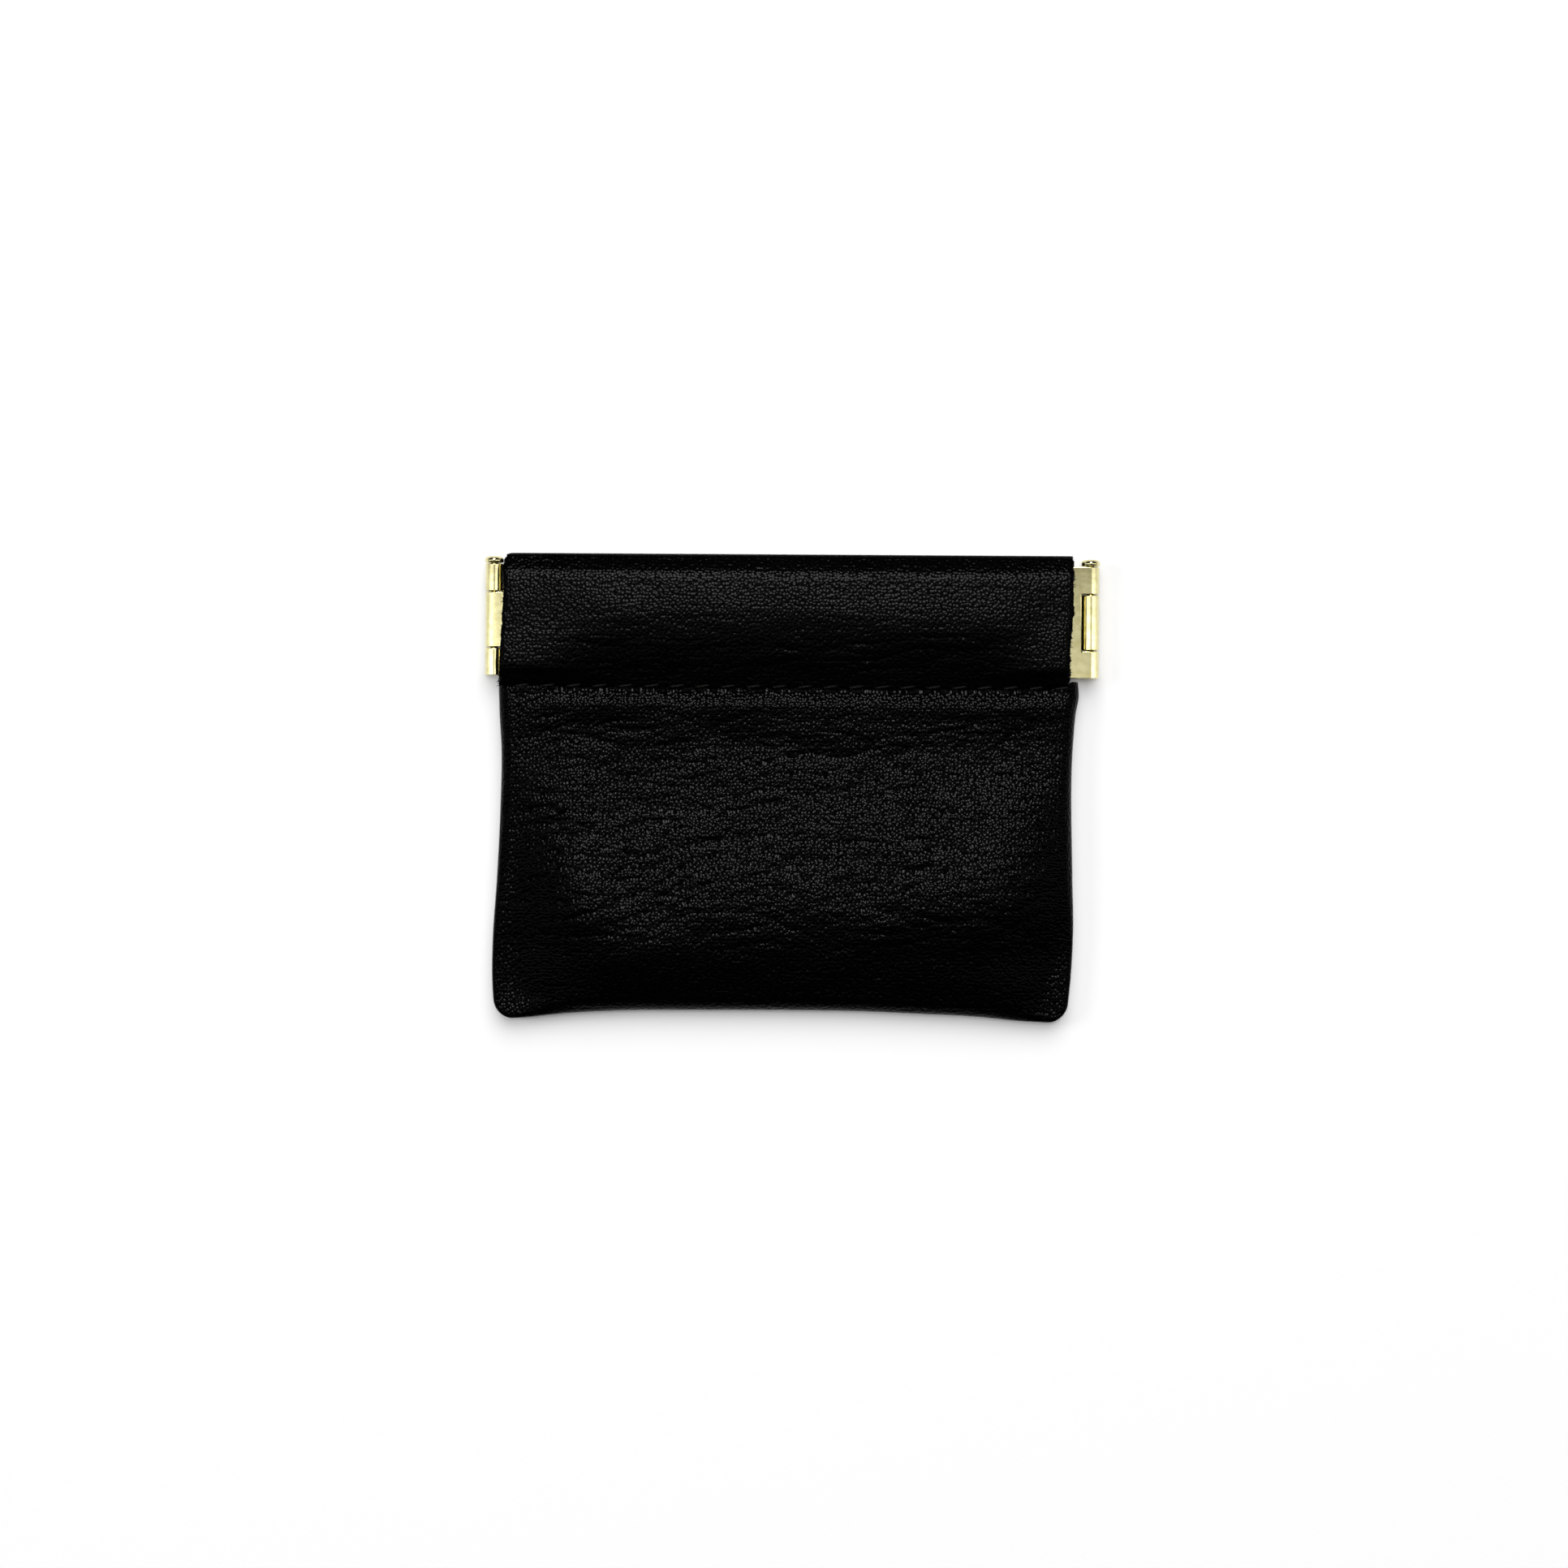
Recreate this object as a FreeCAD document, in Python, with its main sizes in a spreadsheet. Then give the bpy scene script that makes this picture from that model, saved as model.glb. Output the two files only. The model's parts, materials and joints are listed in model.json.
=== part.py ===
# Squeeze coin purse: two sprung strips hinged at both ends, threaded through the
# sewn casings of a two-panel leather pouch. It lies on its back: +X along the
# mouth, +Y from the bottom edge to the mouth, +Z out of the front.

import FreeCAD, Part
import Sketcher
import os

doc = FreeCAD.newDocument("SqueezeCoinPurse")
sheet = doc.addObject("Spreadsheet::Sheet", "Sizes")

# Driving dimensions in millimetres
sizes = [
    ("pin_spacing", 82.6, "left hinge pin axis to right hinge pin axis"),
    ("strip_height", 15.4, "height of a strip and of its stack of knuckles"),
    ("strip_thickness", 0.6, "sheet thickness of a strip"),
    ("middle_knuckle", 7.6, "length of the middle knuckle of a hinge"),
    ("knuckle_gap", 0.15, "end play between knuckles, and under a pin head"),
    ("notch_clearance", 0.15, "from a mating knuckle to the edge behind it"),
    ("pin_diameter", 1.1, "shank of a hinge pin"),
    ("pin_clearance", 0.05, "radial running clearance of a pin in its knuckles"),
    ("head_diameter", 2.6, "button head of a hinge pin"),
    ("head_height", 0.9, "thickness of that head"),
    ("head_rounding", 0.3, "rounding of that head"),
    ("flex_offset", 12.0, "from the middle of the mouth to where a strip bends"),
    ("flex_gap", 0.2, "cut between two lengths of a bending piece"),
    ("leather_thickness", 1.1, "leather of both panels"),
    ("mouth_gap", 0.3, "between the skived flaps that close the two casings inside"),
    ("strip_clearance", 0.05, "play of a strip in its casing, across the sheet"),
    ("tunnel_clearance", 0.2, "play of a strip in its casing, along its height"),
    ("rim_gap", 0.2, "between the rims of the two panels"),
    ("leather_inset", 1.9, "from a hinge pin axis to the end of a casing"),
    ("fold_rounding", 0.95, "rounding of the leather over the top of a strip"),
    ("seam_band", 1.6, "sewn band below a strip"),
    ("seam_slope", 2.6, "run over which a casing falls to its sewn band"),
    ("groove_clearance", 0.05, "play of the thread in its stitch groove"),
    ("groove_depth", 0.3, "depth of that groove"),
    ("thread_diameter", 0.5, "sewing thread"),
    ("thread_play", 0.02, "thread from the floor of its groove"),
    ("stitch_length", 2.6, "thread showing at one stitch"),
    ("stitch_pitch", 3.55, "from one stitch to the next"),
    ("bag_height", 64.8, "top fold to bottom corners"),
    ("pouch_flare", 0.5, "how far a bottom corner stands out past the end of a casing"),
    ("bottom_dip", 1.2, "how far the bottom edge is drawn in at its middle"),
    ("corner_radius", 3.0, "bottom corners seen from the front"),
    ("roll_height", 2.15, "front of the pouch in its roll under the seam, from the middle plane"),
    ("roll_drop", 2.9, "from the seam down to that roll"),
    ("crown_height", 4.1, "front of the pouch where its crown begins, from the middle plane"),
    ("crown_drop", 28.0, "from the seam down to where the crown begins"),
    ("crown_bulge", 1.1, "rise of the crown over a straight fall to the bottom rim"),
    ("edge_bulge", 0.2, "what is left of that rise at the sides"),
    ("rim_height", 1.3, "front of the rim from the middle plane"),
    ("side_slope", 9.0, "width over which the crown falls to a side"),
    ("side_shoulder", 3.0, "outer part of that width, where half of the fall is"),
    ("back_bevel", 1.2, "bevel round the flat back"),
]
for row, (alias, value, note) in enumerate(sizes, start=1):
    sheet.set(f"A{row}", alias)
    sheet.set(f"B{row}", str(value))
    sheet.set(f"C{row}", note)
    sheet.setAlias(f"B{row}", alias)
doc.recompute()


def size(expression):
    return float(sheet.evalExpression(expression.replace("Sizes.", "")))


# Places worked out from the driving dimensions, as expressions
pin_x = "Sizes.pin_spacing / 2"
bore_radius = "(Sizes.pin_diameter / 2 + Sizes.pin_clearance)"
knuckle_radius = f"({bore_radius} + Sizes.strip_thickness)"
plate_edge_x = f"({pin_x} - {knuckle_radius} - Sizes.notch_clearance)"
cut_x = "(Sizes.flex_offset + Sizes.flex_gap / 2)"
middle_x = "(Sizes.flex_offset - Sizes.flex_gap / 2)"
mid_z = f"({knuckle_radius} + Sizes.strip_clearance + Sizes.leather_thickness)"
rim_z = "Sizes.rim_gap / 2"
top_y = "Sizes.bag_height / 2"
bottom_y = "(-Sizes.bag_height / 2)"
strip_top = f"({top_y} - Sizes.leather_thickness - Sizes.tunnel_clearance)"
strip_bottom = f"({strip_top} - Sizes.strip_height)"
strip_mid = f"({strip_top} - Sizes.strip_height / 2)"
tunnel_top = f"({strip_top} + Sizes.tunnel_clearance)"
tunnel_bottom = f"({strip_bottom} - Sizes.tunnel_clearance)"
seam_y = f"({tunnel_bottom} - Sizes.seam_band)"
groove_y = f"({seam_y} + Sizes.seam_band / 2)"
groove_half = "(Sizes.thread_diameter / 2 + Sizes.groove_clearance)"
plate_z = bore_radius
tunnel_z = f"({plate_z} - Sizes.strip_clearance)"
flap_z = "Sizes.mouth_gap / 2"
casing_z = mid_z
casing_end = f"({pin_x} - Sizes.leather_inset)"
bag_half = f"({casing_end} + Sizes.pouch_flare)"
band_z = f"({tunnel_z} + Sizes.leather_thickness)"


def place(feature, x="0", y="0", z="0"):
    feature.setExpression("Placement.Base.x", x)
    feature.setExpression("Placement.Base.y", y)
    feature.setExpression("Placement.Base.z", z)


def block(name, low, high):
    """A box between two corners given as expressions."""
    made = doc.addObject("Part::Box", name)
    for side, a, b in zip(("Length", "Width", "Height"), low, high):
        made.setExpression(side, f"({b}) - ({a})")
    place(made, *low)
    return made


def rod(name, radius, x, y0, y1):
    """A cylinder along +Y on a hinge axis."""
    made = doc.addObject("Part::Cylinder", name)
    made.setExpression("Radius", radius)
    made.setExpression("Height", f"({y1}) - ({y0})")
    made.Placement.Rotation = FreeCAD.Rotation(FreeCAD.Vector(1, 0, 0), -90)
    place(made, x, y0, mid_z)
    return made


def fuse(name, pieces):
    made = doc.addObject("Part::MultiFuse", name)
    made.Shapes = pieces
    return made


def cut(name, base, tool):
    made = doc.addObject("Part::Cut", name)
    made.Base, made.Tool = base, tool
    return made


def common(name, base, tool):
    made = doc.addObject("Part::Common", name)
    made.Base, made.Tool = base, tool
    return made


def outline(sketch, corners, arcs=None):
    """Closes a loop through corners; an edge in arcs passes through its own point."""
    arcs = arcs or {}
    first = sketch.GeometryCount
    points = [FreeCAD.Vector(size(u), size(v), 0) for u, v in corners]
    ends = []
    for i, start in enumerate(points):
        stop = points[(i + 1) % len(points)]
        if i not in arcs:
            sketch.addGeometry(Part.LineSegment(start, stop))
            ends.append((1, 2))
            continue
        through = FreeCAD.Vector(size(arcs[i][0]), size(arcs[i][1]), 0)
        sketch.addGeometry(Part.Arc(start, through, stop))
        turns_left = (through - start).cross(stop - through).z > 0
        ends.append((1, 2) if turns_left else (2, 1))
    for i, (u, v) in enumerate(corners):
        here, before = first + i, first + (i - 1) % len(corners)
        start, stop = ends[i][0], ends[(i - 1) % len(corners)][1]
        sketch.addConstraint(Sketcher.Constraint("Coincident", before, stop, here, start))
        pin_point(sketch, here, start, u, v)
    for i, (u, v) in arcs.items():
        sketch.addGeometry(Part.Point(FreeCAD.Vector(size(u), size(v), 0)), True)
        dot = sketch.GeometryCount - 1
        pin_point(sketch, dot, 1, u, v)
        sketch.addConstraint(Sketcher.Constraint("PointOnObject", dot, 1, first + i))


def pin_point(sketch, geometry, end, u, v):
    for kind, expression in (("DistanceX", u), ("DistanceY", v)):
        index = sketch.addConstraint(
            Sketcher.Constraint(kind, -1, 1, geometry, end, size(expression))
        )
        sketch.setExpression(f"Constraints[{index}]", expression)


def body_sketch(body, plane, name):
    sketch = body.newObject("Sketcher::SketchObject", name)
    origin = [f for f in body.Origin.OriginFeatures if f.Role == plane][0]
    sketch.AttachmentSupport = (origin, [""])
    sketch.MapMode = "FlatFace"
    return sketch


def edges_where(shape, test):
    return [f"Edge{i}" for i, e in enumerate(shape.Edges, 1) if test(e)]


def at(e, axis, value):
    return all(abs(getattr(v.Point, axis) - value) < 1e-4 for v in e.Vertexes)


# Hinged strips: the two are alike, and one is the other turned end for end
def strip_arm(name, hand, side, knuckles):
    """One end of a strip, from its bend to its hinge. hand is -1 left, +1 right."""
    reach = sorted(
        (f"{hand} * {cut_x}", f"{hand} * {plate_edge_x}"), key=size
    )
    tongue = sorted((f"{hand} * {plate_edge_x}", f"{hand} * {pin_x}"), key=size)
    faces = [f"{mid_z} + {side} * {plate_z}", f"{mid_z} + {side} * {knuckle_radius}"]
    faces.sort(key=size)
    pieces = [
        block(f"{name}_plate", (reach[0], strip_bottom, faces[0]), (reach[1], strip_top, faces[1]))
    ]
    for i, (y0, y1) in enumerate(knuckles):
        pieces.append(
            block(f"{name}_tongue{i}", (tongue[0], y0, faces[0]), (tongue[1], y1, faces[1]))
        )
        pieces.append(rod(f"{name}_barrel{i}", knuckle_radius, f"{hand} * {pin_x}", y0, y1))
    bore = rod(f"{name}_bore", bore_radius, f"{hand} * {pin_x}", bottom_y, top_y)
    return cut(name, fuse(f"{name}_blank", pieces), bore)


def strip_middle(name, side):
    faces = [f"{mid_z} + {side} * {plate_z}", f"{mid_z} + {side} * {knuckle_radius}"]
    faces.sort(key=size)
    return block(name, (f"-{middle_x}", strip_bottom, faces[0]), (middle_x, strip_top, faces[1]))


inner_knuckle = [
    (f"{strip_mid} - Sizes.middle_knuckle / 2", f"{strip_mid} + Sizes.middle_knuckle / 2")
]
outer_knuckles = [
    (strip_bottom, f"{strip_mid} - Sizes.middle_knuckle / 2 - Sizes.knuckle_gap"),
    (f"{strip_mid} + Sizes.middle_knuckle / 2 + Sizes.knuckle_gap", strip_top),
]
parts = {}
parts["front_strip_left"] = strip_arm("front_strip_left", -1, 1, inner_knuckle)
parts["front_strip_middle"] = strip_middle("front_strip_middle", 1)
parts["front_strip_right"] = strip_arm("front_strip_right", 1, 1, outer_knuckles)
parts["back_strip_left"] = strip_arm("back_strip_left", -1, -1, outer_knuckles)
parts["back_strip_middle"] = strip_middle("back_strip_middle", -1)
parts["back_strip_right"] = strip_arm("back_strip_right", 1, -1, inner_knuckle)


# Hinge pins: a shank through the knuckles under a rounded button head
def hinge_pin(name, hand):
    body = doc.addObject("PartDesign::Body", name)
    place(body, f"{hand} * {pin_x}", "0", mid_z)
    sketch = body_sketch(body, "XY_Plane", f"{name}_half")
    shank, head = "Sizes.pin_diameter / 2", "Sizes.head_diameter / 2"
    seat = f"{strip_top} + Sizes.knuckle_gap"
    crest = f"{seat} + Sizes.head_height"
    outline(
        sketch,
        [
            ("0", strip_bottom),
            (shank, strip_bottom),
            (shank, seat),
            (head, seat),
            (head, f"{crest} - Sizes.head_rounding"),
            (f"{head} - Sizes.head_rounding", crest),
            ("0", crest),
        ],
    )
    turned = body.newObject("PartDesign::Revolution", f"{name}_turned")
    turned.Profile = sketch
    turned.ReferenceAxis = (sketch, ["V_Axis"])
    turned.Angle = 360
    return body


parts["hinge_pin_left"] = hinge_pin("hinge_pin_left", -1)
parts["hinge_pin_right"] = hinge_pin("hinge_pin_right", 1)


# Casings: panel leather folded over a strip and sewn down below it
def casing(name, side, x0, x1):
    body = doc.addObject("PartDesign::Body", name)
    place(body, x0)
    sketch = body_sketch(body, "YZ_Plane", f"{name}_section")

    def z(height):
        return f"{mid_z} + {side} * ({height})"

    groove = f"{band_z} - Sizes.groove_depth"
    shoulder_y = f"{tunnel_bottom} + Sizes.seam_slope"
    outline(
        sketch,
        [
            (seam_y, z(flap_z)),
            (top_y, z(flap_z)),
            (top_y, z(casing_z)),
            (shoulder_y, z(casing_z)),
            (tunnel_bottom, z(band_z)),
            (f"{groove_y} + {groove_half}", z(band_z)),
            (f"{groove_y} + {groove_half}", z(groove)),
            (f"{groove_y} - {groove_half}", z(groove)),
            (f"{groove_y} - {groove_half}", z(band_z)),
            (seam_y, z(band_z)),
        ],
    )
    strip_face = f"{knuckle_radius} + Sizes.strip_clearance"
    outline(
        sketch,
        [
            (tunnel_bottom, z(tunnel_z)),
            (tunnel_top, z(tunnel_z)),
            (tunnel_top, z(strip_face)),
            (tunnel_bottom, z(strip_face)),
        ],
    )
    pad = body.newObject("PartDesign::Pad", f"{name}_sheet")
    pad.Profile = sketch
    pad.setExpression("Length", f"({x1}) - ({x0})")
    doc.recompute()
    fold = body.newObject("PartDesign::Fillet", f"{name}_fold")
    top = size(top_y)
    fold.Base = (pad, edges_where(pad.Shape, lambda e: at(e, "y", top) and e.BoundBox.XLength > 1))
    wall_limit = f"0.49 * ({casing_z} - {flap_z})"
    fold.setExpression("Radius", f"min(Sizes.fold_rounding; {wall_limit})")
    return body


spans = {
    "left": (f"-{casing_end}", f"-{cut_x}"),
    "middle": (f"-{middle_x}", middle_x),
    "right": (cut_x, casing_end),
}
for face, side in (("front", 1), ("back", -1)):
    for where, (x0, x1) in spans.items():
        parts[f"{face}_casing_{where}"] = casing(f"{face}_casing_{where}", side, x0, x1)


# Pouch panels: a crowned front over a flat back, met at the rim
def pouch_outline(name, z0, height):
    """The pouch below the casings, seen from the front, as a slab."""
    body = doc.addObject("PartDesign::Body", name)
    place(body, "0", "0", z0)
    sketch = body_sketch(body, "XY_Plane", f"{name}_plan")
    outline(
        sketch,
        [
            (f"-{bag_half}", bottom_y),
            (bag_half, bottom_y),
            (casing_end, seam_y),
            (f"-{casing_end}", seam_y),
        ],
        {0: ("0", f"{bottom_y} + Sizes.bottom_dip")},
    )
    pad = body.newObject("PartDesign::Pad", f"{name}_slab")
    pad.Profile = sketch
    pad.setExpression("Length", height)
    doc.recompute()
    low = size(bottom_y)
    corners = edges_where(
        pad.Shape, lambda e: at(e, "y", low) and e.BoundBox.ZLength > 0.5 and e.BoundBox.XLength < 0.5
    )
    rounding = body.newObject("PartDesign::Fillet", f"{name}_corners")
    rounding.Base = (pad, corners)
    rounding.setExpression("Radius", "Sizes.corner_radius")
    doc.recompute()
    return body


def section(name, x, corners, arc):
    """A closed section of the crowned front, square to the mouth."""
    sketch = doc.addObject("Sketcher::SketchObject", name)
    sketch.Placement.Rotation = FreeCAD.Rotation(FreeCAD.Vector(1, 1, 1), 120)
    sketch.setExpression("Placement.Base.x", x)
    outline(sketch, corners, arc)
    return sketch


def crowned(name, half_width, low_z, rim_y, seam_end, drop):
    """A loft across the mouth, all of it drop below the grain side: a roll under the seam,
    a long rise to the crown and a round fall to the rim, each lower towards the sides."""
    shoulder_x = f"({bag_half} - Sizes.side_shoulder)"
    full_x = f"({bag_half} - Sizes.side_slope)"
    crown_y = f"{seam_y} - Sizes.crown_drop"
    roll_y = f"{seam_y} - Sizes.roll_drop"
    rim_top = f"({mid_z} + Sizes.rim_height - {drop})"
    stations = [
        (f"-{half_width}", 0, "0"),
        (f"-{shoulder_x}", 0.5, "Sizes.bottom_dip / 6"),
        (f"-{full_x}", 1, "Sizes.bottom_dip / 2"),
        ("0", 1, "Sizes.bottom_dip"),
        (full_x, 1, "Sizes.bottom_dip / 2"),
        (shoulder_x, 0.5, "Sizes.bottom_dip / 6"),
        (half_width, 0, "0"),
    ]
    sections = []
    for i, (x, share, lift) in enumerate(stations):
        end_y = f"({rim_y} + {lift})"
        crown_z = f"({rim_top} + {share} * (Sizes.crown_height - Sizes.rim_height))"
        roll_z = f"({rim_top} + {share} * (Sizes.roll_height - Sizes.rim_height))"
        bulge = f"(Sizes.edge_bulge + {share} * (Sizes.crown_bulge - Sizes.edge_bulge))"
        corners = [
            (seam_end, low_z),
            (end_y, low_z),
            (end_y, rim_top),
            (crown_y, crown_z),
            (roll_y, roll_z),
            (seam_end, f"{mid_z} + {band_z} - {drop}"),
        ]
        arc = {2: (f"({end_y} + {crown_y}) / 2", f"({rim_top} + {crown_z}) / 2 + {bulge}")}
        sections.append(section(f"{name}_section{i}", x, corners, arc))
    made = doc.addObject("Part::Loft", name)
    made.Sections = sections
    made.Solid, made.Ruled = True, True
    return made


leather = "Sizes.leather_thickness"
front_skin = crowned("front_skin", bag_half, f"{mid_z} + {rim_z}", bottom_y, seam_y, "0")
front_hollow = crowned(
    "front_hollow",
    f"({bag_half} - {leather})",
    f"{mid_z} - {leather}",
    f"{bottom_y} + {leather}",
    f"{seam_y} + {leather}",
    leather,
)
front_plan = pouch_outline("front_plan", mid_z, "Sizes.crown_height * 2")
front_shell = common("front_shell", cut("front_bare", front_skin, front_hollow), front_plan)


def back_shell():
    """A shallow tray: flat on its back, with a rim up to the middle plane."""
    height = f"{mid_z} - {rim_z}"
    body = pouch_outline("back_shell", "0", height)
    rounding = body.Tip
    flat = edges_where(rounding.Shape, lambda e: at(e, "z", 0) and not at(e, "y", size(seam_y)))
    bevel = body.newObject("PartDesign::Chamfer", "back_bevel_cut")
    bevel.Base = (rounding, flat)
    bevel.setExpression("Size", "Sizes.back_bevel")
    doc.recompute()
    sketch = body_sketch(body, "XY_Plane", "back_hollow_plan")
    sketch.setExpression("AttachmentOffset.Base.z", leather)
    side_x = f"({casing_end} - {leather} - Sizes.back_bevel)"
    low_y = f"({bottom_y} + Sizes.bottom_dip + {leather} + Sizes.back_bevel)"
    outline(
        sketch,
        [
            (f"-{side_x}", low_y),
            (side_x, low_y),
            (side_x, f"{seam_y} + {leather}"),
            (f"-{side_x}", f"{seam_y} + {leather}"),
        ],
    )
    hollow = body.newObject("PartDesign::Pocket", "back_hollow")
    hollow.Profile = sketch
    hollow.setExpression("Length", f"{height} - {leather}")
    hollow.Reversed = True
    doc.recompute()
    return body


pouch_back = back_shell()
columns = {
    "left": (f"-{bag_half} - Sizes.corner_radius", f"-{cut_x}"),
    "middle": (f"-{middle_x}", middle_x),
    "right": (cut_x, f"{bag_half} + Sizes.corner_radius"),
}
for face, shell in (("front", front_shell), ("back", pouch_back)):
    for where, (x0, x1) in columns.items():
        name = f"{face}_panel_{where}"
        low, high = (x0, f"{bottom_y} * 2", f"-{mid_z}"), (x1, f"{top_y} * 2", f"{mid_z} * 6")
        parts[name] = common(name, shell, block(f"{name}_length", low, high))


# Stitches: the thread that shows, one short length for each stitch
def stitches(name, x0, x1, y, z):
    run, pitch = size(x1) - size(x0), size("stitch_pitch")
    length, radius = size("stitch_length"), size("thread_diameter") / 2
    count = int((run - length) // pitch) + 1
    start = (size(x0) + size(x1) - (count - 1) * pitch - length) / 2
    along = FreeCAD.Vector(1, 0, 0)
    threads = [
        Part.makeCylinder(
            radius, length, FreeCAD.Vector(start + i * pitch, size(y), size(z)), along
        )
        for i in range(count)
    ]
    made = doc.addObject("Part::Feature", name)
    made.Shape = Part.makeCompound(threads)
    return made


thread_lift = "(Sizes.thread_diameter / 2 + Sizes.thread_play)"
for face, side in (("front", 1), ("back", -1)):
    floor = f"{band_z} - Sizes.groove_depth + {thread_lift}"
    for where, (x0, x1) in spans.items():
        name = f"{face}_stitches_{where}"
        parts[name] = stitches(name, x0, x1, groove_y, f"{mid_z} + {side} * ({floor})")
seam_inset = f"({casing_end} - {leather} - Sizes.back_bevel - Sizes.corner_radius)"
seam_line_y = (
    f"({bottom_y} + Sizes.bottom_dip + {leather} + Sizes.back_bevel + Sizes.thread_diameter)"
)
seam_spans = {
    "left": (f"-{seam_inset}", f"-{cut_x}"),
    "middle": (f"-{middle_x}", middle_x),
    "right": (cut_x, seam_inset),
}
for where, (x0, x1) in seam_spans.items():
    name = f"seam_stitches_{where}"
    parts[name] = stitches(name, x0, x1, seam_line_y, f"{leather} + {thread_lift}")

doc.recompute()
for feature in doc.Objects:
    if "Invalid" in feature.State or "Error" in feature.State:
        raise RuntimeError(f"{feature.Label} did not build: {feature.State}")
for name, part in parts.items():
    if part.Shape.isNull() or not part.Shape.isValid():
        raise RuntimeError(f"{name} has no valid shape")
os.makedirs("parts", exist_ok=True)
for name, part in parts.items():
    part.Label = name
    part.Shape.exportStep(f"parts/{name}.step")
    box = part.Shape.BoundBox
    spans = f"{box.XLength:.2f} x {box.YLength:.2f} x {box.ZLength:.2f} mm"
    print(f"{name}: {len(part.Shape.Solids)} solids, {part.Shape.Volume:.2f} mm3, {spans}")
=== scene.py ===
# Squeeze coin purse: soft black leather over a sprung gilt frame, lying on its back.
# Lengths are millimetres until a mesh is made: x along the mouth, y towards it, z out of the front.
import json
import math

import bmesh
import bpy
import numpy as np
from mathutils import Euler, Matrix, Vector


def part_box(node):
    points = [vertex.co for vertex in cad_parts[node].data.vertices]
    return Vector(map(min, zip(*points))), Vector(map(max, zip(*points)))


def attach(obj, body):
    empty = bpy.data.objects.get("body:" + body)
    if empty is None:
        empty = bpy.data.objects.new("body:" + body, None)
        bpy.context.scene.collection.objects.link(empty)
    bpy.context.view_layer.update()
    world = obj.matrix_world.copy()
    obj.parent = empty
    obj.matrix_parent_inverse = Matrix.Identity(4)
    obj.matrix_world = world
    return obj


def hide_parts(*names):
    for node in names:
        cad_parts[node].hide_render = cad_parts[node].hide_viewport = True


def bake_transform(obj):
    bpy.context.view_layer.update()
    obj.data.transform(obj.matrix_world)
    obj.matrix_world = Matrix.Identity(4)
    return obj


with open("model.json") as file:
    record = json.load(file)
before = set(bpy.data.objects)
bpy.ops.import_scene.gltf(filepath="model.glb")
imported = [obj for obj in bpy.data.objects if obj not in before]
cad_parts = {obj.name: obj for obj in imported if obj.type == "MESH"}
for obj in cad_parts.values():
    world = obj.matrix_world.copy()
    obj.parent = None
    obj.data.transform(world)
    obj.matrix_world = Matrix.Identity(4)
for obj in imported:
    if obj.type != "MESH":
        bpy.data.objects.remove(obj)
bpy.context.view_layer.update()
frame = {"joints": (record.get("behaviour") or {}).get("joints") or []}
scene = bpy.context.scene
scene.view_settings.view_transform = "Standard"
mm = 0.001
joints = {joint["name"]: joint for joint in frame["joints"]}


def boxOf(node):  # lowest and highest corner of a CAD node, in millimetres
    return [np.array(corner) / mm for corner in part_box(node)]


# places taken from the frame; "lift" is always the height above the plane of the hinge pins
pinX, pinMidY, midZ = np.array(joints["right_hinge"]["pos_m"]) / mm
bendX = joints["back_right_bend"]["pos_m"][0] / mm
stripLow, stripHigh = boxOf("front_strip_middle")
casingLow, casingHigh = boxOf("front_casing_middle")
pinLow, pinHigh = boxOf("hinge_pin_right")
seamThreadLow, seamThreadHigh = boxOf("seam_stitches_middle")
plateLift = (stripLow[2] + stripHigh[2]) / 2 - midZ
plateThickness = stripHigh[2] - stripLow[2]
print("frame: pins at", pinX, "bends at", bendX, "pin plane at", midZ)


# Curves and noise

def curveThrough(points, q):  # smooth curve through a few (q, value) points
    xs, ys = np.array(sorted(points), float).T
    slopes = np.gradient(ys, xs)
    q = np.clip(q, xs[0], xs[-1])
    i = np.clip(np.searchsorted(xs, q) - 1, 0, len(xs) - 2)
    width = xs[i + 1] - xs[i]
    t = (q - xs[i]) / width
    near = ys[i] * (1 + 2 * t) + slopes[i] * width * t
    far = ys[i + 1] * (3 - 2 * t) + slopes[i + 1] * width * (t - 1)
    return near * (1 - t) ** 2 + far * t * t


def easeStep(start, end, q):  # 0 before start, 1 after end
    t = np.clip((q - start) / (end - start), 0, 1)
    return t * t * (3 - 2 * t)


def bothOf(a, b):  # small where either gap is small, with a rounded corner
    return a + b - np.sqrt(a * a + b * b)


def spread(count, low, high):  # shares from 0 to 1, packed closer by these factors at the two ends
    easing = 14  # how soon the packing eases off
    u = np.linspace(0, 1, count)
    step = 1 / (1 + (low - 1) * np.exp(-easing * u) + (high - 1) * np.exp(-easing * (1 - u)))
    share = np.concatenate([[0], np.cumsum(step[1:] + step[:-1])])
    return share / share[-1]


def softNoise(x, y, seed):  # smooth random hills about 1 across
    size = 64  # the hills repeat after this many
    turns = np.random.default_rng(seed).uniform(0, 2 * math.pi, (size, size))
    cellX, cellY = np.floor(x).astype(int), np.floor(y).astype(int)
    restX, restY = x - cellX, y - cellY

    def corner(i, j):
        turn = turns[(cellX + i) % size, (cellY + j) % size]
        return np.cos(turn) * (restX - i) + np.sin(turn) * (restY - j)

    fadeX, fadeY = (q ** 3 * (q * (6 * q - 15) + 10) for q in (restX, restY))
    low = corner(0, 0) * (1 - fadeX) + corner(1, 0) * fadeX
    high = corner(0, 1) * (1 - fadeX) + corner(1, 1) * fadeX
    return 1.4 * (low * (1 - fadeY) + high * fadeY)


creaseForm = {"wanderSize": (9, 7), "sharpness": 2.5, "patchSize": (11, 7), "fade": (4, 3)}


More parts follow.
